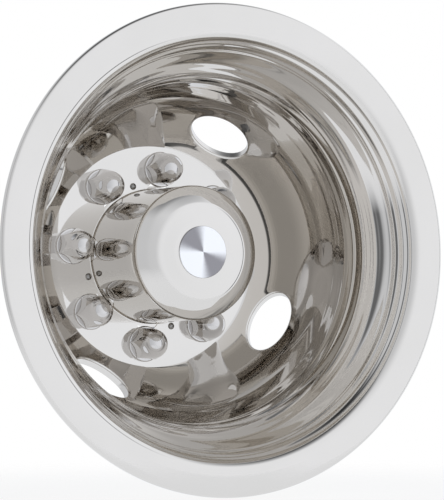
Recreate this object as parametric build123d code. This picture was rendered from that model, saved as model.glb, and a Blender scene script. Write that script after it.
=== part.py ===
from build123d import *
import os
from math import acos, asin, atan2, cos, hypot, radians, sin, tan

os.makedirs("parts", exist_ok=True)

# Wheel simulator for a dual rear wheel, in millimetres. The axis is Y, the open front faces -Y,
# and the plane y = 0 is the back of the flange, where it lies on the rim.

# Stock and clearances
sheet = 1.0               # wall of the pressed stainless sheet
clearance = 0.3           # air between round faces that pass through each other

# Lug nut covers
lug_count = 8
lug_circle = 165.1        # pitch circle diameter
socket_radius = 12.9      # hollow that goes over the wheel's own nut
cover_wall = 1.0          # thickness of the rounded end
cover_side = 1.1          # thickness at the middle of a flat
cover_height = 32.3       # tip above the plate
cover_shoulder = 10.5     # height at which the hexagon's corners begin to taper
ring_ledge = 0.63         # how far the base ring stands out from the hexagon's corners
ring_height = 3.0
ring_round = 1.2
neck_wall = 1.5           # sleeve through the plate
neck_length = 7.0
bead_height = 2.0         # snap bead on the sleeve, behind the plate
bead_stand = 0.8          # how far the bead stands out from the sleeve

# Flange, mouth and barrel of the liner
rim_radius = 217.3        # outside of the rolled edge
edge_round = 3.0          # roll of the outer edge, on the front
edge_depth = 4.0          # how far the rolled edge reaches behind the seat
flange_width = 22.6       # from the roll into the mouth to the outer edge
roll_radius = 10.0        # roll from flange to mouth, on the front
bell_depth = 55.0         # corner between mouth and barrel, behind the seat
bell_radius = 80.0        # bend of that corner
barrel_tilt = 82.0        # slope of the barrel, from the plate's plane

# Bowl and lug plate of the liner
plate_depth = 163.2       # front face of the lug plate, behind the seat
plate_margin = 4.35       # from the covers' rings to the plate's corner
plate_round = 2.0         # bend of that corner
bowl_tilt = 27.5          # slope of the bowl where it leaves the plate
bowl_start = 2.4          # straight slope between the corner and the bend of the bowl
bowl_radius = 82.0        # bend of the bowl, up to the barrel

# Hand holes
hand_count = 4
hand_angle = 62.0         # first hand hole, from +X towards +Z
hand_tilt = 49.2          # slope of the bowl at a hole's middle
hand_half_long = 30.0     # half of the opening round the wheel
hand_half_wide = 19.0     # half of the opening up the bowl
hand_lip = 5.0            # how far the rolled lip reaches behind the bowl
hand_roll = 2.5           # roll of the lip, on the front

# Hub cap
hub_gap = 3.05            # air between the hub wall and the covers' rings
hub_draft = 1.5           # how much narrower the wall is at its front
hub_height = 103.2        # corner of wall and face above the plate
face_rise = 0.6           # rise of the face from the wall to the boss
face_flat = 6.2           # flat of the face between the boss and the bend at the wall
face_round = 15.0         # hollow between face and boss
boss_rise = 1.2
boss_flare = 9.0          # run of the boss's flank
boss_border = 4.4         # flat left round the medallion
boss_round = 12.0
foot_round = 1.0          # bend between wall and lip
lip_gap = 1.05            # air between the lip behind the plate and the covers' beads
hub_hole_gap = 1.4        # air between the hub wall and the plate's centre hole

# Medallion
medallion_radius = 23.6
medallion_thick = 1.2     # at its edge
medallion_crown = 0.5     # bulge of its face

# Rivets, and the ears of the lip that they go through
rivet_inset = 2.0         # from the lip's edge out to the rivets
rivet_head_radius = 3.2
rivet_head_height = 1.6
rivet_shank_radius = 1.6
rivet_tail_radius = 2.5
rivet_tail_length = 3.0
ear_half_width = 6.0

# Retention clips
clip_sheet = 0.8
clip_heel = 3.5           # from the rivet to the foot's end, towards the axis
clip_length = 22.0        # of the foot, outwards
clip_foot_half = 11.5     # half of the foot round the wheel
clip_flare = 6.5          # how far a wing leans out at its knee
clip_knee = 15.0          # height of the knee behind the foot
clip_hook = 3.0           # how far a wing comes back in at its end
clip_height = 22.0
clip_bend = 1.6

# Radii and planes that follow from the sizes above
cover_dome = socket_radius + cover_wall
cover_flat = socket_radius + cover_side
cover_corner = cover_flat / cos(radians(30))
ring_radius = cover_corner + ring_ledge
neck_radius = socket_radius + neck_wall
bead_radius = neck_radius + bead_stand
hub_base_radius = lug_circle / 2 - ring_radius - hub_gap
hub_top_radius = hub_base_radius - hub_draft
hub_hole = hub_base_radius + hub_hole_gap
lip_radius = lug_circle / 2 - bead_radius - lip_gap
rivet_circle_radius = lip_radius + rivet_inset
boss_radius = medallion_radius + boss_border
hub_round = hub_top_radius - boss_radius - boss_flare - face_flat
flange_front = -sheet
hub_corner_y = plate_depth - hub_height
face_y = hub_corner_y - face_rise
boss_y = face_y - boss_rise
plate_back = plate_depth + sheet
lip_back = plate_back + sheet
clip_back = lip_back + clip_sheet
lug_step = 360 / lug_count
hand_step = 360 / hand_count


def around(angle):
    """Placement that carries a piece built beside +X round the axis, towards +Z."""
    return Rot(0, -angle, 0)


def shifted(points, amount):
    """Corners of the line that runs beside the given one, to the left of its travel."""
    runs = []
    for (r0, y0, _), (r1, y1, _) in zip(points, points[1:]):
        length = hypot(r1 - r0, y1 - y0)
        runs.append(((r1 - r0) / length, (y1 - y0) / length))
    moved = []
    for i, (r, y, bend) in enumerate(points):
        before = runs[max(i - 1, 0)]
        after = runs[min(i, len(runs) - 1)]
        share = 1 + before[0] * after[0] + before[1] * after[1]
        turn = before[0] * after[1] - before[1] * after[0]
        new_r = r - amount * (before[1] + after[1]) / share
        new_y = y + amount * (before[0] + after[0]) / share
        new_bend = bend - amount if turn > 0 else bend + amount
        moved.append((new_r, new_y, new_bend if bend else 0))
    return moved


def rounded(points):
    """Straight runs through the corners, with each corner's bend as a tangent arc."""
    edges = []
    start = Vector(points[0][0], points[0][1])
    for i in range(1, len(points) - 1):
        bend = points[i][2]
        corner = Vector(points[i][0], points[i][1])
        back = (Vector(points[i - 1][0], points[i - 1][1]) - corner).normalized()
        ahead = (Vector(points[i + 1][0], points[i + 1][1]) - corner).normalized()
        half = radians(back.get_angle(ahead)) / 2
        reach = corner + back * (bend / tan(half))
        edges.append(Line(start, reach))
        start = corner + ahead * (bend / tan(half))
        if bend:
            middle = corner + (back + ahead).normalized() * (bend / sin(half) - bend)
            edges.append(ThreePointArc(reach, middle, start))
    edges.append(Line(start, Vector(points[-1][0], points[-1][1])))
    return edges


def strip(points, thickness):
    """Section of bent sheet: the given line is one skin, and the other lies to its left."""
    other = shifted(points, thickness)
    ends = [
        Line((points[0][0], points[0][1]), (other[0][0], other[0][1])),
        Line((points[-1][0], points[-1][1]), (other[-1][0], other[-1][1])),
    ]
    return make_face(rounded(points) + rounded(other) + ends)


def dome_half(radius, height):
    """Halfway point on the arc of a shallow dome: distance from its axis, and height."""
    ball = (radius ** 2 + height ** 2) / (2 * height)
    lean = asin(radius / ball) / 2
    return ball * sin(lean), height - ball * (1 - cos(lean))


# Places round the axis: hand holes, covers halfway between them, rivets halfway between covers
hand_places = [around(hand_angle + hand_step * i) for i in range(hand_count)]
lug_angles = [hand_angle + lug_step * (i + 0.5) for i in range(lug_count)]
lug_places = [around(a) * Pos(lug_circle / 2, plate_depth, 0) for a in lug_angles]
clip_places = [around(hand_angle + hand_step * (i + 0.5)) for i in range(hand_count)]
rivet_places = [place * Pos(rivet_circle_radius, plate_depth, 0) for place in clip_places]
upright = Rot(90, 0, 0)

# Bend of the bowl: it leaves the plate's slope and ends where the barrel is tangent to it
plate_radius = lug_circle / 2 + ring_radius + plate_margin
slope = radians(bowl_tilt)
steep = radians(barrel_tilt)
bowl_centre_r = plate_radius + bowl_start * cos(slope) - bowl_radius * sin(slope)
bowl_centre_y = plate_depth - bowl_start * sin(slope) - bowl_radius * cos(slope)
bowl_reach = bowl_start + bowl_radius * tan((steep - slope) / 2)
bowl_corner_r = plate_radius + bowl_reach * cos(slope)
bowl_corner_y = plate_depth - bowl_reach * sin(slope)

# Bell of the mouth: it leaves the barrel, and the mouth runs on to meet the flange's roll
bell_corner_r = bowl_corner_r + (bowl_corner_y - bell_depth) / tan(steep)
roll_centre_r = rim_radius - flange_width
roll_centre_y = flange_front + roll_radius
run_r = roll_centre_r - bell_corner_r
run_y = bell_depth - roll_centre_y
mouth_tilt = atan2(run_y, run_r) + asin(roll_radius / hypot(run_r, run_y))
mouth_corner_r = bell_corner_r + (bell_depth - flange_front) / tan(mouth_tilt)

# Liner: one drawn sheet, from the plate's centre hole out to the rolled edge
liner_line = [
    (hub_hole, plate_depth, 0),
    (plate_radius, plate_depth, plate_round),
    (bowl_corner_r, bowl_corner_y, bowl_radius),
    (bell_corner_r, bell_depth, bell_radius),
    (mouth_corner_r, flange_front, roll_radius),
    (rim_radius, flange_front, edge_round),
    (rim_radius, edge_depth, 0),
]
liner = revolve(strip(liner_line, sheet), Axis.Y)

# Space inside the dish, in front of the liner's skin
dish_edges = rounded(liner_line[:-1])
dish_edges.append(Line((rim_radius, flange_front), (0, flange_front)))
dish_edges.append(Line((0, flange_front), (0, plate_depth)))
dish_edges.append(Line((0, plate_depth), (hub_hole, plate_depth)))
dish = revolve(make_face(dish_edges), Axis.Y)

# Hand holes: an oval cut square to the bowl, with a collar of the sheet turned back round it
out_r = sin(radians(hand_tilt))
out_y = cos(radians(hand_tilt))
hand_plane = Plane(
    origin=(bowl_centre_r + bowl_radius * out_r, bowl_centre_y + bowl_radius * out_y, 0),
    x_dir=(0, 0, 1),
    z_dir=(out_r, out_y, 0),
)
fore_plane = hand_plane.offset(-hand_half_wide)
collar_oval = fore_plane * Ellipse(hand_half_long + sheet, hand_half_wide + sheet)
opening_oval = fore_plane * Ellipse(hand_half_long, hand_half_wide)
collar = extrude(collar_oval, amount=hand_half_wide + hand_lip) - dish
opening = extrude(opening_oval, amount=2 * (hand_half_wide + hand_lip))
liner += [place * collar for place in hand_places]
liner -= [place * opening for place in hand_places]


def oval_edges(shape, grown):
    """Edges of the hand holes on the opening's oval, grown by an amount, other than the lip's end."""
    found = []
    for edge in shape.edges():
        for place in hand_places:
            local = hand_plane.to_local_coords(place.inverse() * edge)
            spots = [local.position_at(t) for t in (0, 0.25, 0.5, 0.75, 1)]
            spread = [
                hypot(spot.X / (hand_half_long + grown), spot.Y / (hand_half_wide + grown)) for spot in spots
            ]
            at_end = all(abs(spot.Z - hand_lip) < 0.01 for spot in spots)
            if all(abs(share - 1) < 0.001 for share in spread) and not at_end:
                found.append(edge)
    return found


liner = fillet(oval_edges(liner, 0), hand_roll)
liner = fillet(oval_edges(liner, sheet), hand_roll - sheet)

# Holes in the lug plate, for the covers' sleeves and the rivets
neck_bores = [place * upright * Cylinder(neck_radius + clearance, 4 * sheet) for place in lug_places]
rivet_bore = Cylinder(rivet_shank_radius + clearance, 2 * (clip_back - plate_depth) + sheet)
rivet_bores = [place * upright * rivet_bore for place in rivet_places]
liner -= neck_bores
liner -= rivet_bores
export_step(liner, "parts/wheel_liner.step")

# Hub cap: one drawn can whose lip lies behind the plate, with an ear round each rivet
hub_line = [
    (0, boss_y, 0),
    (boss_radius, boss_y, boss_round),
    (boss_radius + boss_flare, face_y, face_round),
    (hub_top_radius, hub_corner_y, hub_round),
    (hub_base_radius, plate_back, foot_round),
    (lip_radius, plate_back, 0),
]
hub_cap = revolve(strip(hub_line, sheet), Axis.Y)
lip_plane = Plane(origin=(0, plate_back, 0), x_dir=(1, 0, 0), z_dir=(0, 1, 0))
ear_root = hub_base_radius + foot_round
ear_length = rivet_circle_radius - ear_root
ear_outline = Pos(ear_root + ear_length / 2, 0) * Rectangle(ear_length, 2 * ear_half_width)
ear_outline += Pos(rivet_circle_radius, 0) * Circle(ear_half_width)
ear = extrude(lip_plane * ear_outline, amount=sheet)
hub_cap += [place * ear for place in clip_places]
hub_cap -= rivet_bores
export_step(hub_cap, "parts/hub_cap.step")

# Medallion: a plain disc with a slightly domed face, stuck to the flat top of the boss
medallion_edge_y = boss_y - medallion_thick
medallion_top = (0, medallion_edge_y - medallion_crown)
medallion_rim = (medallion_radius, medallion_edge_y)
crown_r, crown_rise = dome_half(medallion_radius, medallion_crown)
medallion_edges = [
    ThreePointArc(medallion_rim, (crown_r, medallion_edge_y - crown_rise), medallion_top),
    Line(medallion_top, (0, boss_y)),
    Line((0, boss_y), (medallion_radius, boss_y)),
    Line((medallion_radius, boss_y), medallion_rim),
]
medallion = revolve(make_face(medallion_edges), Axis.Y)
export_step(medallion, "parts/medallion.step")

# Lug nut cover, built upright on the plate's front: base ring, and sleeve with its snap bead
bead_top = -sheet - clearance
bead_bottom = bead_top - bead_height
sleeve_line = [
    (0, -neck_length, 0),
    (neck_radius, -neck_length, 0),
    (neck_radius, bead_bottom, 0),
    (bead_radius, (bead_top + bead_bottom) / 2, bead_stand / 2),
    (neck_radius, bead_top, 0),
    (neck_radius, 0, 0),
    (ring_radius, 0, 0),
    (ring_radius, ring_height, ring_round),
    (0, ring_height, 0),
]
sleeve_edges = rounded(sleeve_line) + [Line((0, ring_height), (0, -neck_length))]
sleeve = revolve(Plane.XZ * make_face(sleeve_edges), Axis.Z)

# The hexagon, with its corners tapered into the rounded end
dome_centre = cover_height - cover_dome
drop = dome_centre - cover_shoulder
touch = acos(cover_dome / hypot(cover_corner, drop)) - atan2(drop, cover_corner)
lean = (radians(90) + touch) / 2
touch_point = (cover_dome * cos(touch), dome_centre + cover_dome * sin(touch))
dome_middle = (cover_dome * cos(lean), dome_centre + cover_dome * sin(lean))
dome_edges = [
    Line((0, 0), (cover_corner, 0)),
    Line((cover_corner, 0), (cover_corner, cover_shoulder)),
    Line((cover_corner, cover_shoulder), touch_point),
    ThreePointArc(touch_point, dome_middle, (0, cover_height)),
    Line((0, cover_height), (0, 0)),
]
dome = revolve(Plane.XZ * make_face(dome_edges), Axis.Z)
hexagon = RegularPolygon(cover_flat, 6, major_radius=False, rotation=30)
cover = sleeve + (extrude(hexagon, amount=cover_height) & dome)

# The hollow that goes over the wheel's own nut
from_below = (Align.CENTER, Align.CENTER, Align.MIN)
cover -= Pos(0, 0, -neck_length) * Cylinder(socket_radius, neck_length + dome_centre, align=from_below)
cover -= Pos(0, 0, dome_centre) * Sphere(socket_radius)
for i, place in enumerate(lug_places):
    export_step(place * upright * cover, f"parts/lug_nut_cover_{i + 1}.step")

# Rivets, built upright on the plate's front: domed head, shank and set tail
grip = clip_back - plate_depth
tail_end = -grip - rivet_tail_length
head_half = dome_half(rivet_head_radius, rivet_head_height)
rivet_edges = [
    ThreePointArc((0, rivet_head_height), head_half, (rivet_head_radius, 0)),
    Line((rivet_head_radius, 0), (rivet_shank_radius, 0)),
    Line((rivet_shank_radius, 0), (rivet_shank_radius, -grip)),
    Line((rivet_shank_radius, -grip), (rivet_tail_radius, -grip)),
    Line((rivet_tail_radius, -grip), (rivet_tail_radius, tail_end)),
    Line((rivet_tail_radius, tail_end), (0, tail_end)),
    Line((0, tail_end), (0, rivet_head_height)),
]
rivet = revolve(Plane.XZ * make_face(rivet_edges), Axis.Z)
rivets = Compound(children=[place * upright * rivet for place in rivet_places])
export_step(rivets, "parts/rivets.step")

# Retention clips: spring strip bent to a channel whose wings grip the wheel's own nuts on either side
knee = clip_foot_half + clip_flare
clip_line = [
    (clip_hook - knee, clip_height, 0),
    (-knee, clip_knee, clip_bend),
    (-clip_foot_half, 0, clip_bend),
    (clip_foot_half, 0, clip_bend),
    (knee, clip_knee, clip_bend),
    (knee - clip_hook, clip_height, 0),
]
clip_plane = Plane(
    origin=(rivet_circle_radius - clip_heel, lip_back, 0),
    x_dir=(0, 0, 1),
    z_dir=(-1, 0, 0),
)
channel = extrude(clip_plane * strip(clip_line, clip_sheet), amount=-clip_length)
for i, place in enumerate(clip_places):
    clip = place * channel - rivet_bores[i]
    export_step(clip, f"parts/retention_clip_{i + 1}.step")
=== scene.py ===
from math import acos, asin, atan2, ceil, cos, degrees, hypot, inf, pi, radians, sin, tan

import bmesh
import bpy
from mathutils import Matrix, Vector


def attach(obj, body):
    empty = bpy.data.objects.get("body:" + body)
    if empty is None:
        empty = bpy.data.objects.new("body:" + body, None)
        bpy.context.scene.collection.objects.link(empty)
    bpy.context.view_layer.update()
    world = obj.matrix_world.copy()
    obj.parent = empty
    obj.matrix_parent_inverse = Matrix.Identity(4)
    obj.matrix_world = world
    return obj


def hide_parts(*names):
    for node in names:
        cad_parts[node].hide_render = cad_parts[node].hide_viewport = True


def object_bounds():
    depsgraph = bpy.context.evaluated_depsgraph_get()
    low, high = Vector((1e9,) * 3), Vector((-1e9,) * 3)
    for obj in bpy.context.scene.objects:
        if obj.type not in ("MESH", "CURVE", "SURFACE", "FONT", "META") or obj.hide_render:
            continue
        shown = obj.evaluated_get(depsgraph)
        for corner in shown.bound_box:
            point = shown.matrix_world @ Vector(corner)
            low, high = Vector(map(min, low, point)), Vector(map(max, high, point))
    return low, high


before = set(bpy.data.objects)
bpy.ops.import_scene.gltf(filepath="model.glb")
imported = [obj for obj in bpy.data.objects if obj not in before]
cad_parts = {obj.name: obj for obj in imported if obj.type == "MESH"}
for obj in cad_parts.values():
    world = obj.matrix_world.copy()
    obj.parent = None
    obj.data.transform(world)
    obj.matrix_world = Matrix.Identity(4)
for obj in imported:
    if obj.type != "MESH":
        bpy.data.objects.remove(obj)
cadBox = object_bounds()
print("frame loaded,", len(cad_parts), "nodes")

mm = 0.001  # pieces are modelled in millimetres and shrunk to metres when they are finished
shortArc = 0.5  # arcs aren't split finer than this
weldGap = 0.0005
slack = 0.01  # how far from a plane a face may lie and still count as part of it
plainWhite = (1.0, 1.0, 1.0, 1.0)


# profiles: one vertex is walked along straight runs and tangent arcs, then the line is spun round Y

def runTo(bm, tip, goal, runLength):
    stretch = goal - tip.co
    count = max(1, ceil(stretch.length / runLength))
    for _ in range(count):
        tip = bmesh.ops.extrude_vert_indiv(bm, verts=[tip])["verts"][0]
        bmesh.ops.translate(bm, verts=[tip], vec=stretch / count)
    return tip


def turnAbout(bm, tip, centre, angle, turnStep):
    arc = abs(angle) * (tip.co - centre).length
    steps = max(2, min(ceil(abs(degrees(angle)) / turnStep), ceil(arc / shortArc)))
    made = bmesh.ops.spin(bm, geom=[tip], cent=centre, axis=(0, 0, 1), angle=angle, steps=steps)
    return [part for part in made["geom_last"] if isinstance(part, bmesh.types.BMVert)][0]


def traceProfile(bm, corners, runLength, turnStep):
    # a corner is r, y and its bend, and where the line needs it a spacing of its own
    spots = [Vector((corner[0], corner[1], 0)) for corner in corners]
    tip = bmesh.ops.create_vert(bm, co=spots[0])["vert"][0]
    for i in range(1, len(spots)):
        bend, *spacing = corners[i][2:]
        run = spacing[0] if spacing else runLength
        if not bend:
            tip = runTo(bm, tip, spots[i], run)
            continue
        back = (spots[i - 1] - spots[i]).normalized()
        ahead = (spots[i + 1] - spots[i]).normalized()
        half = back.angle(ahead) / 2
        tip = runTo(bm, tip, spots[i] + back * (bend / tan(half)), run)
        centre = spots[i] + (back + ahead).normalized() * (bend / sin(half))
        side = 1 if ahead.cross(back).z > 0 else -1
        turn = degrees(run / bend) if spacing else turnStep
        tip = turnAbout(bm, tip, centre, side * (pi - 2 * half), turn)
    return tip


def lathe(bm, steps):
    geom = bm.verts[:] + bm.edges[:]
    bmesh.ops.spin(bm, geom=geom, cent=(0, 0, 0), axis=(0, 1, 0), angle=2 * pi, steps=steps, use_merge=True)
    bmesh.ops.remove_doubles(bm, verts=bm.verts, dist=weldGap)
    bmesh.ops.recalc_face_normals(bm, faces=bm.faces)


def faceFront(bm, isFront):
    # an open skin has no outside of its own, so the faces that must look to the front decide
    lean = sum(face.normal.y * face.calc_area() for face in bm.faces if isFront(face.calc_center_median()))
    if lean > 0:
        bmesh.ops.reverse_faces(bm, faces=bm.faces)


def aroundAxis(angle):
    # carries what is built beside +X round the wheel's axis, towards +Z
    return Matrix.Rotation(-radians(angle), 3, "Y")


def pourInto(whole, bm):
    spare = bpy.data.meshes.new("spare")
    bm.to_mesh(spare)
    bm.free()
    whole.from_mesh(spare)
    bpy.data.meshes.remove(spare)


def finishPiece(bm, name, finish, nodes, sharpFrom):
    bmesh.ops.scale(bm, verts=bm.verts, vec=(mm, mm, mm))
    for face in bm.faces:
        face.smooth = True
    for edge in bm.edges:
        if len(edge.link_faces) == 2 and edge.calc_face_angle(0) > radians(sharpFrom):
            edge.smooth = False
    mesh = bpy.data.meshes.new(name)
    bm.to_mesh(mesh)
    bm.free()
    mesh.materials.append(finish)
    piece = bpy.data.objects.new(name, mesh)
    bpy.context.scene.collection.objects.link(piece)
    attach(piece, "root")
    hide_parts(*nodes)
    print("made", name, len(mesh.polygons), "faces")


# shader sockets as Python values

class Socket:
    def __init__(self, finish, socket):
        self.finish = finish
        self.socket = socket

    def __add__(self, other):
        return self.finish.calc("ADD", self, other)

    def __radd__(self, other):
        return self.finish.calc("ADD", other, self)

    def __sub__(self, other):
        return self.finish.calc("SUBTRACT", self, other)

    def __rsub__(self, other):
        return self.finish.calc("SUBTRACT", other, self)

    def __mul__(self, other):
        return self.finish.calc("MULTIPLY", self, other)

    def __rmul__(self, other):
        return self.finish.calc("MULTIPLY", other, self)


class Finish:
    def __init__(self, owner):
        owner.use_nodes = True
        self.owner = owner
        self.tree = owner.node_tree
        self.tree.nodes.clear()

    def node(self, kind, settings=None, inputs=None, output=0):
        made = self.tree.nodes.new(kind)
        for name, value in (settings or {}).items():
            setattr(made, name, value)
        for name, value in (inputs or {}).items():
            if isinstance(value, Socket):
                self.tree.links.new(value.socket, made.inputs[name])
            else:
                made.inputs[name].default_value = value
        return Socket(self, made.outputs[output]) if made.outputs else None

    def calc(self, operation, left, right=0.0):
        return self.node("ShaderNodeMath", {"operation": operation}, {0: left, 1: right})

    def noise(self, coords, scale, detail, roughness=0.5):
        sizes = {"Vector": coords, "Scale": scale, "Detail": detail, "Roughness": roughness}
        return self.node("ShaderNodeTexNoise", {}, sizes)

    def fade(self, value, low, high):
        # 0 at low, 1 at high, with soft ends
        settings = {"interpolation_type": "SMOOTHSTEP"}
        return self.node("ShaderNodeMapRange", settings, {"Value": value, "From Min": low, "From Max": high})

    def length(self, vector):
        return self.node("ShaderNodeVectorMath", {"operation": "LENGTH"}, {0: vector}, "Value")

    def part(self, vector, axis):
        return self.node("ShaderNodeSeparateXYZ", inputs={0: vector}, output="XYZ".index(axis))

    def blend(self, share, first, second):
        # 6, 7 and 2 are the colour sockets of the Mix node, whose sockets share their names
        settings = {"data_type": "RGBA", "blend_type": "MIX"}
        return self.node("ShaderNodeMix", settings, {0: share, 6: first, 7: second}, 2)


grain = {
    "cloudDetail": 3.0,
    "hazeDetail": 4.0,
    "rippleDetail": 1.0,
    "ringDetail": 1.0,
    "ringRoughness": 0.25,
}


def mirrorFinish(name, look):
    # polished metal: faint cloudiness in its colour and gloss, a slow ripple, and rings left by the drawing
    finish = Finish(bpy.data.materials.new(name))
    coords = finish.node("ShaderNodeTexCoord", output="Object")
    cloud = finish.noise(coords, look["cloudScale"], grain["cloudDetail"])
    haze = finish.noise(coords, look["hazeScale"], grain["hazeDetail"])
    drift = look["ringDrift"]
    along = finish.node("ShaderNodeMapping", inputs={"Vector": coords, "Scale": (drift, 1, drift)})
    deep = finish.fade(finish.part(coords, "Y"), look["ringFrom"] * mm, look["ringTo"] * mm)
    rings = finish.noise(along, look["ringScale"], grain["ringDetail"], grain["ringRoughness"])
    rings = rings * (look["ringHeight"] - deep * look["ringFall"])
    ripple = finish.noise(coords, look["rippleScale"], grain["rippleDetail"])
    height = ripple * look["rippleHeight"] + rings
    colour = finish.blend(cloud, look["darkColour"], look["lightColour"])
    gloss = look["roughness"] + haze * look["roughnessSpread"]
    bump = finish.node("ShaderNodeBump", inputs={"Strength": 1.0, "Distance": mm, "Height": height})
    shader = finish.node(
        "ShaderNodeBsdfPrincipled",
        inputs={"Base Color": colour, "Metallic": 1.0, "Roughness": gloss, "Normal": bump},
    )
    finish.node("ShaderNodeOutputMaterial", inputs={"Surface": shader})
    return finish.owner


# wheel liner: one drawn sheet with lipped hand holes

linerSet = {
    "sheet": 1.0,
    "rimRadius": 217.3,
    "edgeRound": 3.0,
    "edgeDepth": 4.0,
    "flangeWidth": 22.6,
    "rollRadius": 10.0,
    "hubHole": 64.1,
    "plateDepth": 163.2,
    "plateRadius": 103.7,
    "plateRound": 2.0,
    "bellDepth": 55.0,
    "bellRadius": 80.0,
    "barrelTilt": 82.0,
    "bowlTilt": 27.5,
    "bowlStart": 2.4,
    "bowlRadius": 82.0,
    "lugCircle": 165.1,
    "lugHole": 14.7,
    "lugCount": 8,
    "handCount": 4,
    "handAngle": 62.0,
    "handTilt": 49.2,
    "handHalfLong": 30.0,
    "handHalfWide": 19.0,
    "handLip": 5.0,
    "handRoll": 2.5,
    "rollSteps": 8,
    "sharpFrom": 50.0,
    "spinSteps": 280,
    "runLength": 6.0,
    "turnStep": 2.2,
    "flareSpacing": 1.25,
    "waveStep": 2.5,
    "waves": [
        0.0, 0.056, -0.242, -0.111, 0.344, 0.106, 0.034, 0.207, -0.311, -0.245, -0.206, -0.134,
        0.007, 0.223, 0.312, 0.188, 0.021, 0.024, -0.004, -0.033, -0.374, -0.532, -0.411, 0.026,
        -0.138, -0.294, -0.36, -0.012, -0.035, -0.084, -0.077, -0.102, -0.118, -0.104, 0.0, 0.0,
    ],
}
stainlessLook = {
    "darkColour": (0.625, 0.60, 0.56, 1.0),
    "lightColour": (0.675, 0.645, 0.61, 1.0),
    "cloudScale": 14.0,
    "hazeScale": 60.0,
    "rippleScale": 18.0,
    "rippleHeight": 0.012,
    "ringScale": 240.0,
    "ringDrift": 0.004,
    "ringHeight": 0.02,
    "ringFall": 0.018,
    "ringFrom": 30.0,
    "ringTo": 85.0,
    "roughness": 0.025,
    "roughnessSpread": 0.02,
}
lugStep = 360 / linerSet["lugCount"]
handStep = 360 / linerSet["handCount"]
lugAngles = [linerSet["handAngle"] + lugStep * (i + 0.5) for i in range(linerSet["lugCount"])]
handAngles = [linerSet["handAngle"] + handStep * i for i in range(linerSet["handCount"])]
rivetAngles = [angle + handStep / 2 for angle in handAngles]


class Bowl:
    # bend of the bowl between the plate's slope and the barrel
    searchSteps = 8

    def __init__(self, size):
        self.radius = size["bowlRadius"]
        self.slope = radians(size["bowlTilt"])
        self.r = size["plateRadius"] + size["bowlStart"] * cos(self.slope) - self.radius * sin(self.slope)
        self.y = size["plateDepth"] - size["bowlStart"] * sin(self.slope) - self.radius * cos(self.slope)
        self.barrel = radians(size["barrelTilt"])

    def behind(self, spot):
        # distance behind the front skin, and the way out through it
        r = hypot(spot.x, spot.z)
        tilt = atan2(r - self.r, spot.y - self.y)
        tilt = min(max(tilt, self.slope), self.barrel)
        out = Vector((spot.x / r * sin(tilt), cos(tilt), spot.z / r * sin(tilt)))
        return (r - self.r) * sin(tilt) + (spot.y - self.y) * cos(tilt) - self.radius, out

    def drop(self, spot, along):
        for _ in range(self.searchSteps):
            gap, out = self.behind(spot)
            spot = spot - along * (gap / out.dot(along))
        return spot


class HandHole:
    # oval cut square to the bowl, with a lip rolled to the back
    searchSteps = 4

    def __init__(self, bowl, size, angle):
        turn = aroundAxis(angle)
        tilt = radians(size["handTilt"])
        self.bowl = bowl
        self.halfLong = size["handHalfLong"]
        self.halfWide = size["handHalfWide"]
        self.roll = size["handRoll"]
        self.lip = size["handLip"]
        self.axis = turn @ Vector((sin(tilt), cos(tilt), 0))
        self.side = turn @ Vector((0, 0, 1))
        self.up = self.side.cross(self.axis)
        self.middle = turn @ Vector((bowl.r + bowl.radius * sin(tilt), bowl.y + bowl.radius * cos(tilt), 0))

    def lipSpot(self, turn, share):
        # share 0 leaves the bowl, share 1 ends the roll
        edge = self.middle + self.side * self.halfLong * cos(turn) + self.up * self.halfWide * sin(turn)
        away = (self.side * cos(turn) / self.halfLong + self.up * sin(turn) / self.halfWide).normalized()
        grow = self.roll
        for _ in range(self.searchSteps):
            start = self.bowl.drop(edge + away * grow, self.axis)
            out = self.bowl.behind(start)[1]
            inward = (out * away.dot(out) - away).normalized()
            bend = inward.angle(self.axis)
            grow = self.roll * (1 - cos(bend))
        rise = (self.axis - inward * self.axis.dot(inward)).normalized()
        lean = bend * share
        return start + (inward * sin(lean) + rise * (1 - cos(lean))) * self.roll

    def lipEnd(self, turn):
        spot = self.lipSpot(turn, 1)
        return spot + self.axis * (self.lip - (spot - self.middle).dot(self.axis))


holeSet = {
    "reach": 12.0,
    "rimSpread": 1.5,
    "mergeGap": 0.5,
}


def openHole(bm, middle, axis, side, halfLong, halfWide, settle):
    # takes the faces inside an oval away and settles the edges left near it on the oval itself
    # known fault: at a lug hole those take in part of the hub hole's edge, so the strip between them folds up
    up = side.cross(axis)
    mark = bm.verts.layers.float.get("turn") or bm.verts.layers.float.new("turn")

    def spread(spot):
        # 1 on the oval, less inside it
        local = spot - middle
        if abs(local.dot(axis)) > holeSet["reach"]:
            return inf
        return hypot(local.dot(side) / halfLong, local.dot(up) / halfWide)

    inside = [face for face in bm.faces if spread(face.calc_center_median()) < 1]
    bmesh.ops.delete(bm, geom=inside, context="FACES")
    loose = (v for e in bm.edges if e.is_boundary for v in e.verts)
    rim = list(dict.fromkeys(v for v in loose if spread(v.co) < holeSet["rimSpread"]))
    for vert in rim:
        local = vert.co - middle
        vert[mark] = atan2(local.dot(up) / halfWide, local.dot(side) / halfLong)
        vert.co = settle(vert[mark])
    rim.sort(key=lambda vert: vert[mark])  # Blender's own order changes from run to run
    bmesh.ops.remove_doubles(bm, verts=rim, dist=holeSet["mergeGap"])
    ends = [e for e in bm.edges if e.is_boundary]
    return [e for e in ends if all(spread(v.co) < holeSet["rimSpread"] for v in e.verts)], mark


def growLip(bm, rim, mark, place):
    made = bmesh.ops.extrude_edge_only(bm, edges=rim)["geom"]
    fresh = {part for part in made if isinstance(part, bmesh.types.BMVert)}
    for vert in fresh:
        vert.co = place(vert[mark])
    return [e for e in made if isinstance(e, bmesh.types.BMEdge) and all(v in fresh for v in e.verts)]


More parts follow.
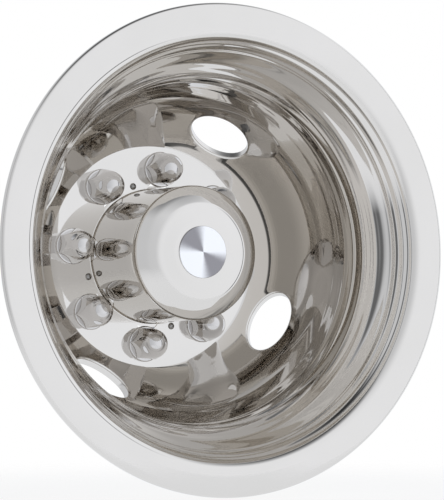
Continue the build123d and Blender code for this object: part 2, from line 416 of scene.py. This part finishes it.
def addWaves(bm, size):
    # shallow waves that the drawing left in the flare, as heights over the front skin at even depths
    heights = size["waves"]
    last = len(heights) - 1
    moves = []
    for vert in bm.verts:
        place = vert.co.y / size["waveStep"]
        ends = [edge.other_vert(vert).co for edge in vert.link_edges]
        if not 0 < place < last or vert.co.x > size["rimRadius"] - size["flangeWidth"] or len(ends) < 2:
            continue
        i = int(place)
        before, low, high, after = (heights[min(max(k, 0), last)] for k in range(i - 1, i + 3))
        t = place - i
        curve = 2 * before - 5 * low + 4 * high - after
        twist = 3 * low - before - 3 * high + after
        rise = (2 * low + (high - before) * t + curve * t ** 2 + twist * t ** 3) / 2
        along = (ends[1] - ends[0]).normalized()
        if along.y < 0:
            along = -along
        moves.append((vert, Vector((-along.y, along.x, 0)) * rise))
    for vert, move in moves:
        vert.co += move


def makeLiner(size):
    bowl = Bowl(size)
    front = -size["sheet"]
    reach = size["bowlStart"] + bowl.radius * tan((bowl.barrel - bowl.slope) / 2)
    bowlCornerR = size["plateRadius"] + reach * cos(bowl.slope)
    bowlCornerY = size["plateDepth"] - reach * sin(bowl.slope)
    bellR = bowlCornerR + (bowlCornerY - size["bellDepth"]) / tan(bowl.barrel)
    runR = size["rimRadius"] - size["flangeWidth"] - bellR
    runY = size["bellDepth"] - front - size["rollRadius"]
    mouthTilt = atan2(runY, runR) + asin(size["rollRadius"] / hypot(runR, runY))  # tangent to the roll
    mouthR = bellR + (size["bellDepth"] - front) / tan(mouthTilt)
    corners = [
        (size["hubHole"], size["plateDepth"], 0),
        (size["plateRadius"], size["plateDepth"], size["plateRound"]),
        (bowlCornerR, bowlCornerY, size["bowlRadius"]),
        (bellR, size["bellDepth"], size["bellRadius"], size["flareSpacing"]),
        (mouthR, front, size["rollRadius"], size["flareSpacing"]),
        (size["rimRadius"], front, size["edgeRound"]),
        (size["rimRadius"], size["edgeDepth"], 0),
    ]
    bm = bmesh.new()
    traceProfile(bm, corners, size["runLength"], size["turnStep"])
    addWaves(bm, size)
    lathe(bm, size["spinSteps"])
    faceFront(bm, lambda spot: spot.y > size["plateDepth"] - slack)

    for angle in handAngles:
        hole = HandHole(bowl, size, angle)
        start = hole.halfLong + hole.roll, hole.halfWide + hole.roll
        rim, mark = openHole(
            bm, hole.middle, hole.axis, hole.side, *start, lambda turn: hole.lipSpot(turn, 0)
        )
        for i in range(1, size["rollSteps"] + 1):
            rim = growLip(bm, rim, mark, lambda turn: hole.lipSpot(turn, i / size["rollSteps"]))
        growLip(bm, rim, mark, hole.lipEnd)

    for angle in lugAngles:
        turn = aroundAxis(angle)
        middle = turn @ Vector((size["lugCircle"] / 2, size["plateDepth"], 0))
        side = turn @ Vector((0, 0, 1))
        axis = Vector((0, 1, 0))
        up = side.cross(axis)
        radius = size["lugHole"]
        openHole(
            bm, middle, axis, side, radius, radius,
            lambda t: middle + (side * cos(t) + up * sin(t)) * radius,
        )

    bmesh.ops.recalc_face_normals(bm, faces=bm.faces)
    faceFront(bm, lambda spot: spot.y > size["plateDepth"] - slack)
    bmesh.ops.solidify(bm, geom=bm.faces[:], thickness=size["sheet"])
    finish = mirrorFinish("polishedStainless", stainlessLook)
    finishPiece(bm, "liner_sheet", finish, ["wheel_liner"], size["sharpFrom"])


makeLiner(linerSet)


# hub cap: drawn can with a low boss, its lip behind the plate and four ears

hubSet = {
    "sheet": 1.0,
    "bossRadius": 28.0,
    "bossY": 58.2,
    "stepRadius": 30.4,
    "stepY": 58.48,
    "bossRound": 1.5,
    "faceRadius": 38.5,
    "faceY": 59.5,
    "domeRadius": 43.5,
    "domeY": 59.9,
    "faceRound": 12.0,
    "slopeRadius": 53.0,
    "slopeY": 65.0,
    "slopeRound": 30.0,
    "topRadius": 61.3,
    "topY": 71.6,
    "topRound": 5.0,
    "baseRadius": 62.7,
    "lipY": 164.2,
    "footRound": 1.0,
    "lipRadius": 66.3,
    "rivetCircle": 68.3,
    "earHalf": 6.0,
    "sharpFrom": 50.0,
    "spinSteps": 300,
    "runLength": 3.0,
    "turnStep": 4.0,
}
hubLook = dict(stainlessLook, ringHeight=0.01, ringFall=0.0)


def makeHubCap(size, finish):
    corners = [
        (0, size["bossY"], 0),
        (size["bossRadius"], size["bossY"], size["bossRound"]),
        (size["stepRadius"], size["stepY"], size["bossRound"]),
        (size["faceRadius"], size["faceY"], size["faceRound"]),
        (size["domeRadius"], size["domeY"], size["faceRound"]),
        (size["slopeRadius"], size["slopeY"], size["slopeRound"]),
        (size["topRadius"], size["topY"], size["topRound"]),
        (size["baseRadius"], size["lipY"], size["footRound"]),
        (size["lipRadius"], size["lipY"], 0),
    ]
    bm = bmesh.new()
    traceProfile(bm, corners, size["runLength"], size["turnStep"])
    lathe(bm, size["spinSteps"])
    for angle in rivetAngles:
        turn = aroundAxis(angle)
        out = turn @ Vector((1, 0, 0))
        side = turn @ Vector((0, 0, 1))

        def underEar(vert):
            return vert.co.dot(out) > 0 and abs(vert.co.dot(side)) < size["earHalf"]

        edges = [e for e in bm.edges if e.is_boundary and all(underEar(v) for v in e.verts)]
        made = bmesh.ops.extrude_edge_only(bm, edges=edges)["geom"]
        for vert in [part for part in made if isinstance(part, bmesh.types.BMVert)]:
            across = vert.co.dot(side)
            along = size["rivetCircle"] + (size["earHalf"] ** 2 - across ** 2) ** 0.5
            vert.co += out * (along - vert.co.dot(out))
    bmesh.ops.recalc_face_normals(bm, faces=bm.faces)
    faceFront(bm, lambda spot: spot.y < size["bossY"] + slack)
    bmesh.ops.solidify(bm, geom=bm.faces[:], thickness=size["sheet"])
    finishPiece(bm, "hub_can", finish, ["hub_cap"], size["sharpFrom"])


makeHubCap(hubSet, mirrorFinish("polishedHub", hubLook))


# lug nut covers: hexagon run into a dome, on a base ring, hollow from behind

coverSet = {
    "sides": 6,
    "flat": 14.0,
    "height": 32.3,
    "shoulder": 10.5,
    "domeRadius": 13.9,
    "ringRadius": 16.8,
    "ringHeight": 3.0,
    "ringRound": 1.2,
    "ringOverlap": 1.0,
    "footSink": 0.5,
    "neckRadius": 14.4,
    "neckLength": 7.0,
    "beadTop": 1.3,
    "beadHeight": 2.0,
    "beadStand": 0.8,
    "socketRadius": 12.9,
    "edgeBand": 0.8,
    "cutGap": 0.0001,
    "flatCorners": 12,
    "flatLean": 0.1,
    "sharpFrom": 70.0,
    "spinSteps": 96,
    "runLength": 2.0,
    "turnStep": 5.0,
}
chromeLook = {
    "darkColour": (0.55, 0.53, 0.51, 1.0),
    "lightColour": (0.61, 0.59, 0.57, 1.0),
    "cloudScale": 40.0,
    "hazeScale": 120.0,
    "rippleScale": 60.0,
    "rippleHeight": 0.02,
    "ringScale": 200.0,
    "ringDrift": 0.2,
    "ringHeight": 0.004,
    "ringFall": 0.0,
    "ringFrom": 0.0,
    "ringTo": 1.0,
    "roughness": 0.04,
    "roughnessSpread": 0.04,
}


def makeCover(size):
    # built with its plate at y = 0 and its tip up +Y
    corner = size["flat"] / cos(pi / size["sides"])
    domeY = size["height"] - size["domeRadius"]
    fall = domeY - size["shoulder"]
    touch = acos(size["domeRadius"] / hypot(corner, fall)) - atan2(fall, corner)
    bm = bmesh.new()
    foot = size["ringHeight"] - size["footSink"]
    tip = bmesh.ops.create_vert(bm, co=(0, foot, 0))["vert"][0]
    tip = runTo(bm, tip, Vector((corner, foot, 0)), corner)
    tip = runTo(bm, tip, Vector((corner, size["shoulder"], 0)), size["runLength"])
    domeStart = Vector((cos(touch), sin(touch), 0)) * size["domeRadius"] + Vector((0, domeY, 0))
    tip = runTo(bm, tip, domeStart, size["runLength"])
    turnAbout(bm, tip, Vector((0, domeY, 0)), pi / 2 - touch, size["turnStep"])
    lathe(bm, size["spinSteps"])
    for i in range(size["sides"]):
        turn = i * 2 * pi / size["sides"]
        out = Vector((cos(turn), 0, sin(turn)))
        geom = bm.verts[:] + bm.edges[:] + bm.faces[:]
        cut = bmesh.ops.bisect_plane(
            bm, geom=geom, dist=size["cutGap"], plane_co=out * size["flat"], plane_no=out, clear_outer=True
        )["geom_cut"]
        edges = [part for part in cut if isinstance(part, bmesh.types.BMEdge)]
        bmesh.ops.contextual_create(bm, geom=edges)
    bmesh.ops.recalc_face_normals(bm, faces=bm.faces)
    upright = [face for face in bm.faces if abs(face.normal.y) < size["flatLean"]]
    flats = [face for face in upright if len(face.verts) > size["flatCorners"]]
    bmesh.ops.inset_individual(bm, faces=flats, thickness=size["edgeBand"])

    # base ring, sleeve with its bead, and the hollow
    beadLow = size["beadTop"] + size["beadHeight"]
    sleeve = bmesh.new()
    corners = [
        (size["domeRadius"] - size["ringOverlap"], size["ringHeight"], 0),
        (size["ringRadius"], size["ringHeight"], size["ringRound"]),
        (size["ringRadius"], 0, 0),
        (size["neckRadius"], 0, 0),
        (size["neckRadius"], -size["beadTop"], 0),
        (size["neckRadius"] + size["beadStand"], -(size["beadTop"] + beadLow) / 2, size["beadStand"] / 2),
        (size["neckRadius"], -beadLow, 0),
        (size["neckRadius"], -size["neckLength"], 0),
        (size["socketRadius"], -size["neckLength"], 0),
        (size["socketRadius"], domeY, 0),
    ]
    tip = traceProfile(sleeve, corners, size["runLength"], size["turnStep"])
    turnAbout(sleeve, tip, Vector((0, domeY, 0)), pi / 2, size["turnStep"])
    lathe(sleeve, size["spinSteps"])
    ledge = next(f for f in sleeve.faces if f.calc_center_median().y > size["ringHeight"] - slack)
    if ledge.normal.y < 0:
        bmesh.ops.reverse_faces(sleeve, faces=sleeve.faces)
    pourInto(bm, sleeve)
    return bm


def placeOnPlate(bm, radius, angle):
    # tips what stands up +Y over to the front, and carries it to its place round the axis
    flip = Matrix.Rotation(pi, 3, "X")
    bmesh.ops.rotate(bm, verts=bm.verts, cent=(0, 0, 0), matrix=flip)
    bmesh.ops.translate(bm, verts=bm.verts, vec=(radius, linerSet["plateDepth"], 0))
    bmesh.ops.rotate(bm, verts=bm.verts, cent=(0, 0, 0), matrix=aroundAxis(angle))


chrome = mirrorFinish("coverChrome", chromeLook)
for i, angle in enumerate(lugAngles):
    cover = makeCover(coverSet)
    placeOnPlate(cover, linerSet["lugCircle"] / 2, angle)
    nodes = [f"lug_nut_cover_{i + 1}"]
    finishPiece(cover, f"nut_cover_{i + 1}", chrome, nodes, coverSet["sharpFrom"])


# medallion: plain spun disc with a slightly domed face and a painted sheen

discSet = {
    "radius": 23.6,
    "backY": hubSet["bossY"],
    "thick": 1.2,
    "crown": 0.5,
    "edgeRound": 0.4,
    "groovePitch": 0.4,
    "grooveDepth": 0.012,
    "grooveParts": 4,
    "edgeRun": 0.3,
    "runLength": 1.0,
    "sharpFrom": 60.0,
    "spinSteps": 160,
}
# the dark and light colours here are those of the painted sheen, fans of painted reflection round the middle
discLook = {
    "darkColour": (0.26, 0.25, 0.26, 1.0),
    "lightColour": (0.80, 0.80, 0.81, 1.0),
    "sheenFans": 2,
    "sheenTurn": 0.05,
    "sheenLow": -0.75,
    "sheenHigh": 0.35,
    "markScale": 2500.0,
    "markDetail": 3.0,
    "markShare": 0.2,
    "roughness": 0.12,
    "roughnessSpread": 0.1,
}


def spunSheenFinish(name, look):
    # turned metal with a painted sheen: two pale and two dark fans of painted reflection round the middle,
    # broken up by fine turning marks
    finish = Finish(bpy.data.materials.new(name))
    coords = finish.node("ShaderNodeTexCoord", output="Object")
    turn = finish.calc("ARCTAN2", finish.part(coords, "Z"), finish.part(coords, "X"))
    # painted sheen: the colour follows the angle round the middle, standing in for the spun metal's
    # reflection
    sheenWave = finish.calc("SINE", turn * look["sheenFans"] + look["sheenTurn"])
    out = finish.node("ShaderNodeCombineXYZ", inputs={0: finish.length(coords)})
    marks = finish.noise(out, look["markScale"], look["markDetail"])
    paintedSheen = finish.fade(sheenWave + marks * look["markShare"], look["sheenLow"], look["sheenHigh"])
    colour = finish.blend(paintedSheen, look["darkColour"], look["lightColour"])
    gloss = look["roughness"] + marks * look["roughnessSpread"]
    shader = finish.node(
        "ShaderNodeBsdfPrincipled", inputs={"Base Color": colour, "Metallic": 1.0, "Roughness": gloss}
    )
    finish.node("ShaderNodeOutputMaterial", inputs={"Surface": shader})
    return finish.owner


def makeDisc(size):
    edgeY = size["backY"] - size["thick"]
    ball = (size["radius"] ** 2 + size["crown"] ** 2) / (2 * size["crown"])
    bm = bmesh.new()
    tip = bmesh.ops.create_vert(bm, co=(0, edgeY - size["crown"], 0))["vert"][0]
    parts = round((size["radius"] - size["edgeRound"]) / size["groovePitch"]) * size["grooveParts"]
    for i in range(1, parts + 1):
        # crowned face with fine turning grooves
        r = i * size["groovePitch"] / size["grooveParts"]
        y = edgeY - size["crown"] + ball - (ball ** 2 - r ** 2) ** 0.5
        y += size["grooveDepth"] * (1 - cos(2 * pi * i / size["grooveParts"])) / 2
        tip = runTo(bm, tip, Vector((r, y, 0)), size["runLength"])
    tip = runTo(bm, tip, Vector((size["radius"], edgeY + size["edgeRound"], 0)), size["edgeRun"])
    tip = runTo(bm, tip, Vector((size["radius"], size["backY"], 0)), size["runLength"])
    runTo(bm, tip, Vector((0, size["backY"], 0)), size["radius"])
    lathe(bm, size["spinSteps"])
    finish = spunSheenFinish("spunDiscPaintedSheen", discLook)
    finishPiece(bm, "spun_disc", finish, ["medallion"], size["sharpFrom"])


makeDisc(discSet)


# rivets: domed heads on the plate, set tails behind the clips

rivetSet = {
    "headRadius": 3.2,
    "headHeight": 1.6,
    "shankRadius": 1.6,
    "grip": 2.8,
    "tailRadius": 2.5,
    "tailLength": 3.0,
    "circle": hubSet["rivetCircle"],
    "sharpFrom": 40.0,
    "spinSteps": 40,
    "runLength": 5.0,
    "turnStep": 6.0,
}
rivetLook = dict(
    chromeLook, darkColour=(0.22, 0.21, 0.20, 1.0), lightColour=(0.34, 0.33, 0.31, 1.0), roughness=0.18
)


def makeRivets(size, finish):
    whole = bmesh.new()
    for angle in rivetAngles:
        bm = bmesh.new()
        ball = (size["headRadius"] ** 2 + size["headHeight"] ** 2) / (2 * size["headHeight"])
        tip = bmesh.ops.create_vert(bm, co=(0, size["headHeight"], 0))["vert"][0]
        centre = Vector((0, size["headHeight"] - ball, 0))
        tip = turnAbout(bm, tip, centre, -asin(size["headRadius"] / ball), size["turnStep"])
        for r, y in (
            (size["shankRadius"], 0),
            (size["shankRadius"], -size["grip"]),
            (size["tailRadius"], -size["grip"]),
            (size["tailRadius"], -size["grip"] - size["tailLength"]),
            (0, -size["grip"] - size["tailLength"]),
        ):
            tip = runTo(bm, tip, Vector((r, y, 0)), size["runLength"])
        lathe(bm, size["spinSteps"])
        placeOnPlate(bm, size["circle"], angle)
        pourInto(whole, bm)
    finishPiece(whole, "rivet_set", finish, ["rivets"], size["sharpFrom"])


makeRivets(rivetSet, mirrorFinish("rivetSteel", rivetLook))


# retention clips: the frame's own solids in spring steel

springLook = {
    "darkColour": (0.30, 0.29, 0.28, 1.0),
    "lightColour": (0.42, 0.41, 0.40, 1.0),
    "cloudScale": 60.0,
    "hazeScale": 200.0,
    "rippleScale": 120.0,
    "rippleHeight": 0.02,
    "ringScale": 400.0,
    "ringDrift": 1.0,
    "ringHeight": 0.01,
    "ringFall": 0.0,
    "ringFrom": 0.0,
    "ringTo": 1.0,
    "roughness": 0.25,
    "roughnessSpread": 0.2,
}
springSteel = mirrorFinish("springSteel", springLook)
for name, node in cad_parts.items():
    if name.startswith("retention_clip"):
        node.data.materials.clear()
        node.data.materials.append(springSteel)
print("clips dressed")


# stage, light and camera

stageSet = {
    "floorSize": 0.9,
    "floorGap": 0.002,
    "segments": 96,
    "fadeFrom": 0.3,
    "fadeTo": 0.8,
    "floorColour": (0.86, 0.86, 0.86, 1.0),
    "roughness": 0.9,
    "mirrorTone": (1.15, 1.20, 1.28, 1.0),
    "whiteShare": 0.85,
}


def makeFloor(size, level):
    # pale near the part and clear further out; the camera sees white, and the metal mirrors the room's tone
    bm = bmesh.new()
    bmesh.ops.create_circle(bm, cap_ends=True, segments=size["segments"], radius=size["floorSize"])
    bmesh.ops.translate(bm, verts=bm.verts, vec=(0, 0, level))
    mesh = bpy.data.meshes.new("floor")
    bm.to_mesh(mesh)
    bm.free()
    floor = bpy.data.objects.new("floor", mesh)
    bpy.context.scene.collection.objects.link(floor)
    finish = Finish(bpy.data.materials.new("paleFloor"))
    paint = finish.node(
        "ShaderNodeBsdfPrincipled", inputs={"Base Color": size["floorColour"], "Roughness": size["roughness"]}
    )
    white = finish.node("ShaderNodeEmission", inputs={"Color": plainWhite, "Strength": 1.0})
    mirrored = finish.node("ShaderNodeEmission", inputs={"Color": size["mirrorTone"], "Strength": 1.0})
    seen = finish.node("ShaderNodeLightPath", output="Is Camera Ray")
    glossy = finish.node("ShaderNodeLightPath", output="Is Glossy Ray")
    shown = finish.node("ShaderNodeMixShader", inputs={0: glossy, 1: white, 2: mirrored})
    lit = (seen + glossy) * size["whiteShare"]
    mixed = finish.node("ShaderNodeMixShader", inputs={0: lit, 1: paint, 2: shown})
    coords = finish.node("ShaderNodeTexCoord", output="Object")
    clear = finish.node("ShaderNodeBsdfTransparent")
    share = finish.fade(finish.length(coords), size["fadeFrom"], size["fadeTo"])
    edge = finish.node("ShaderNodeMixShader", inputs={0: share, 1: mixed, 2: clear})
    finish.node("ShaderNodeOutputMaterial", inputs={"Surface": edge})
    mesh.materials.append(finish.owner)
    print("floor set")


makeFloor(stageSet, cadBox[0].z - stageSet["floorGap"])

studioSet = {
    "tone": (0.95, 0.99, 1.06, 1.0),
    "dimSide": 0.85,
    "brightSide": 0.37,
    "brightWay": (0.866, -0.5, 0.0),
    "brightFrom": -0.3,
    "brightTo": 0.95,
    "ceilingFall": 0.82,
    "ceilingFrom": 0.62,
    "ceilingTo": 1.0,
    "stripWay": (0.766, -0.643, 0.0),
    "stripWidth": 0.035,
    "stripDepth": 0.9,
    "stripFrom": 0.25,
    "stripTo": 0.6,
    "ringLean": 0.17,
    "ringCore": 0.015,
    "ringFade": 0.09,
    "ringDepth": 0.78,
    "ringFrom": 0.1,
    "ringTo": 0.6,
}


def makeStudio(size):
    # pale room, brightest at the right front and dim overhead, with a dark strip beside its bright side and
    # a dark gap where its screens end, about level with the flange; the camera sees plain white
    world = bpy.data.worlds.new("studio")
    bpy.context.scene.world = world
    sky = Finish(world)
    way = sky.node("ShaderNodeTexCoord", output="Generated")
    low = sky.node("ShaderNodeVectorMath", {"operation": "MULTIPLY"}, {0: way, 1: (1.0, 1.0, 0.0)})
    flat = sky.node("ShaderNodeVectorMath", {"operation": "NORMALIZE"}, {0: low})

    def facing(aim):
        return sky.node("ShaderNodeVectorMath", {"operation": "DOT_PRODUCT"}, {0: flat, 1: aim}, "Value")

    height = sky.calc("ABSOLUTE", sky.part(way, "Z"))
    bright = sky.fade(facing(size["brightWay"]), size["brightFrom"], size["brightTo"])
    ceiling = sky.fade(height, size["ceilingFrom"], size["ceilingTo"])
    width = size["stripWidth"]
    strip = sky.fade(facing(size["stripWay"]), cos(2 * width), cos(width / 2))
    strip = strip * (1 - sky.fade(height, size["stripFrom"], size["stripTo"]))
    lean = sky.calc("ABSOLUTE", sky.part(way, "Y") + size["ringLean"])
    ring = 1 - sky.fade(lean, size["ringCore"], size["ringFade"])
    ring = ring * (1 - sky.fade(sky.part(way, "X"), size["ringFrom"], size["ringTo"]))
    level = (size["dimSide"] + bright * size["brightSide"]) * (1 - ceiling * size["ceilingFall"])
    level = level * (1 - strip * size["stripDepth"]) * (1 - ring * size["ringDepth"])
    room = sky.node("ShaderNodeBackground", inputs={"Color": size["tone"], "Strength": level})
    backdrop = sky.node("ShaderNodeBackground", inputs={"Color": plainWhite, "Strength": 1.0})
    seen = sky.node("ShaderNodeLightPath", output="Is Camera Ray")
    whole = sky.node("ShaderNodeMixShader", inputs={0: seen, 1: room, 2: backdrop})
    sky.node("ShaderNodeOutputWorld", inputs={"Surface": whole})
    print("studio set")


makeStudio(studioSet)

cameraSet = {
    "azimuth": -27.66,
    "elevation": -2.66,
    "distance": 1.975,
    "target": (0, -0.0005, 0),
    "frameWidth": 444,
    "frameHeight": 500,
    "focalPixels": 2253.0,
    "axisPixel": (232.9, 249.34),
}


def makeCamera(size):
    azimuth, elevation = radians(size["azimuth"]), radians(size["elevation"])
    back = Vector((sin(azimuth) * cos(elevation), -cos(azimuth) * cos(elevation), sin(elevation)))
    camera = bpy.data.objects.new("camera", bpy.data.cameras.new("camera"))
    bpy.context.scene.collection.objects.link(camera)
    camera.location = Vector(size["target"]) + back * size["distance"]
    camera.rotation_euler = (-back).to_track_quat("-Z", "Y").to_euler()
    longSide = max(size["frameWidth"], size["frameHeight"])
    camera.data.lens = size["focalPixels"] * camera.data.sensor_width / longSide
    camera.data.shift_x = (size["frameWidth"] / 2 - size["axisPixel"][0]) / longSide
    camera.data.shift_y = (size["axisPixel"][1] - size["frameHeight"] / 2) / longSide
    bpy.context.scene.camera = camera
    print("camera set")


makeCamera(cameraSet)
bpy.context.scene.view_settings.view_transform = "Standard"
bpy.context.scene.cycles.glossy_bounces = 12  # light runs a long way between the walls of the dish
